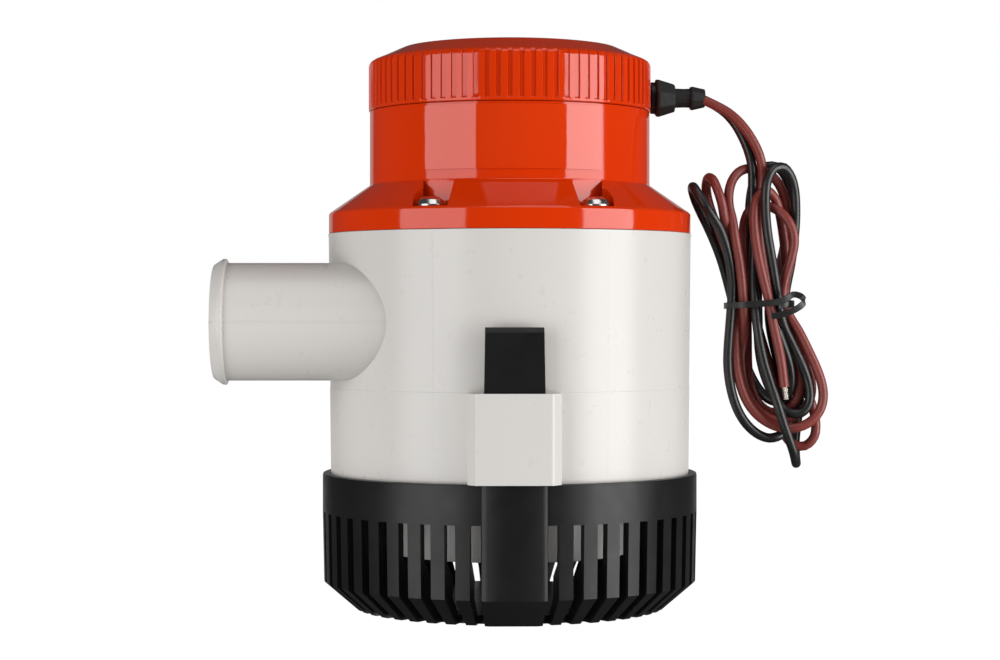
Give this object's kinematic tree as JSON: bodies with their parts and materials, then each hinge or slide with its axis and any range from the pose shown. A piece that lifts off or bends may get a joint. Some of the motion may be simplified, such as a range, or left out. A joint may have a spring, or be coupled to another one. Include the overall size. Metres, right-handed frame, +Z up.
{
  "type": "bilge pump",
  "caption": "Submersible bilge pump: motor housing on a pump body with a side hose spigot, over a slotted strainer that unclips, with two coiled leads.",
  "frame": {"origin": "on the pump's axis, at the strainer's flat underside", "axes": "+Z up along the pump's axis, from the strainer to the motor cap; -X the way the hose spigot points; +X the way the cable leaves; -Y the front, with one of the two latches"},
  "size_m": [0.2129, 0.138, 0.1965],
  "materials": {
    "black_plastic": "satin black moulded plastic with a fine grain",
    "white_plastic": "glossy off-white moulded plastic",
    "orange_plastic": "glossy orange moulded plastic",
    "rubber": "matte black rubber",
    "stainless": "stainless steel",
    "plated_steel": "plated drawn steel",
    "lamination": "stacked electrical steel",
    "ferrite": "dark ceramic magnet",
    "copper": "copper",
    "brass": "pressed brass",
    "bronze": "sintered bronze",
    "carbon": "carbon graphite",
    "tinned": "tinned copper strands",
    "red_pvc": "smooth brownish-red soft PVC",
    "black_pvc": "smooth black soft PVC",
    "clear_film": "thin clear film over the orange"
  },
  "bodies": {
    "strainer": {"strainer_basket": "black_plastic"},
    "latch_front": {"latch_arm_front": "black_plastic"},
    "latch_back": {"latch_arm_back": "black_plastic"},
    "pump": {"gland_bushing": "black_plastic", "gland_nut": "black_plastic", "motor_mount_plate": "black_plastic", "end_bell": "black_plastic", "pump_body": "white_plastic", "volute_casing": "white_plastic", "inlet_skirt": "white_plastic", "motor_housing": "orange_plastic", "motor_cap": "orange_plastic", "housing_seal": "rubber", "cap_seal": "rubber", "shaft_seal": "rubber", "gland_boot": "rubber", "lead_sleeve": "rubber", "housing_screw_1": "stainless", "housing_screw_2": "stainless", "housing_screw_3": "stainless", "housing_screw_4": "stainless", "brush_spring_front": "stainless", "brush_spring_back": "stainless", "motor_can": "plated_steel", "magnet_left": "ferrite", "magnet_right": "ferrite", "brush_holder_front": "brass", "brush_holder_back": "brass", "lower_bearing": "bronze", "upper_bearing": "bronze", "brush_front": "carbon", "brush_back": "carbon", "wire_end_red": "tinned", "wire_end_black": "tinned", "lead_red": "red_pvc", "inner_lead_red": "red_pvc", "lead_black": "black_pvc", "inner_lead_black": "black_pvc", "lead_hank": "black_pvc", "hank_tie": "black_pvc", "rating_film": "clear_film"},
    "rotor": {"motor_shaft": "stainless", "armature_core": "lamination", "winding_lower": "copper", "winding_upper": "copper", "commutator": "copper", "impeller": "black_plastic", "impeller_nut": "stainless"}
  },
  "joints": [
    {"name": "pump_lift", "type": "slide", "parent": "strainer", "child": "pump", "axis": [0, 0, 1], "range_m": [0, 0.06], "deforming": ["latch_arm_front", "latch_arm_back"]},
    {"name": "rotor_spin", "type": "hinge", "parent": "pump", "child": "rotor", "pos_m": [0, 0, 0.1], "axis": [0, 0, 1], "continuous": true},
    {"name": "latch_front_press", "type": "hinge", "parent": "strainer", "child": "latch_front", "pos_m": [0, -0.06615, 0.0474], "axis": [-1, 0, 0], "range_deg": [0, 2.2], "stiffness_Nm_per_rad": 20},
    {"name": "latch_back_press", "type": "hinge", "parent": "strainer", "child": "latch_back", "pos_m": [0, 0.06615, 0.0474], "axis": [1, 0, 0], "range_deg": [0, 2.2], "stiffness_Nm_per_rad": 20}
  ]
}
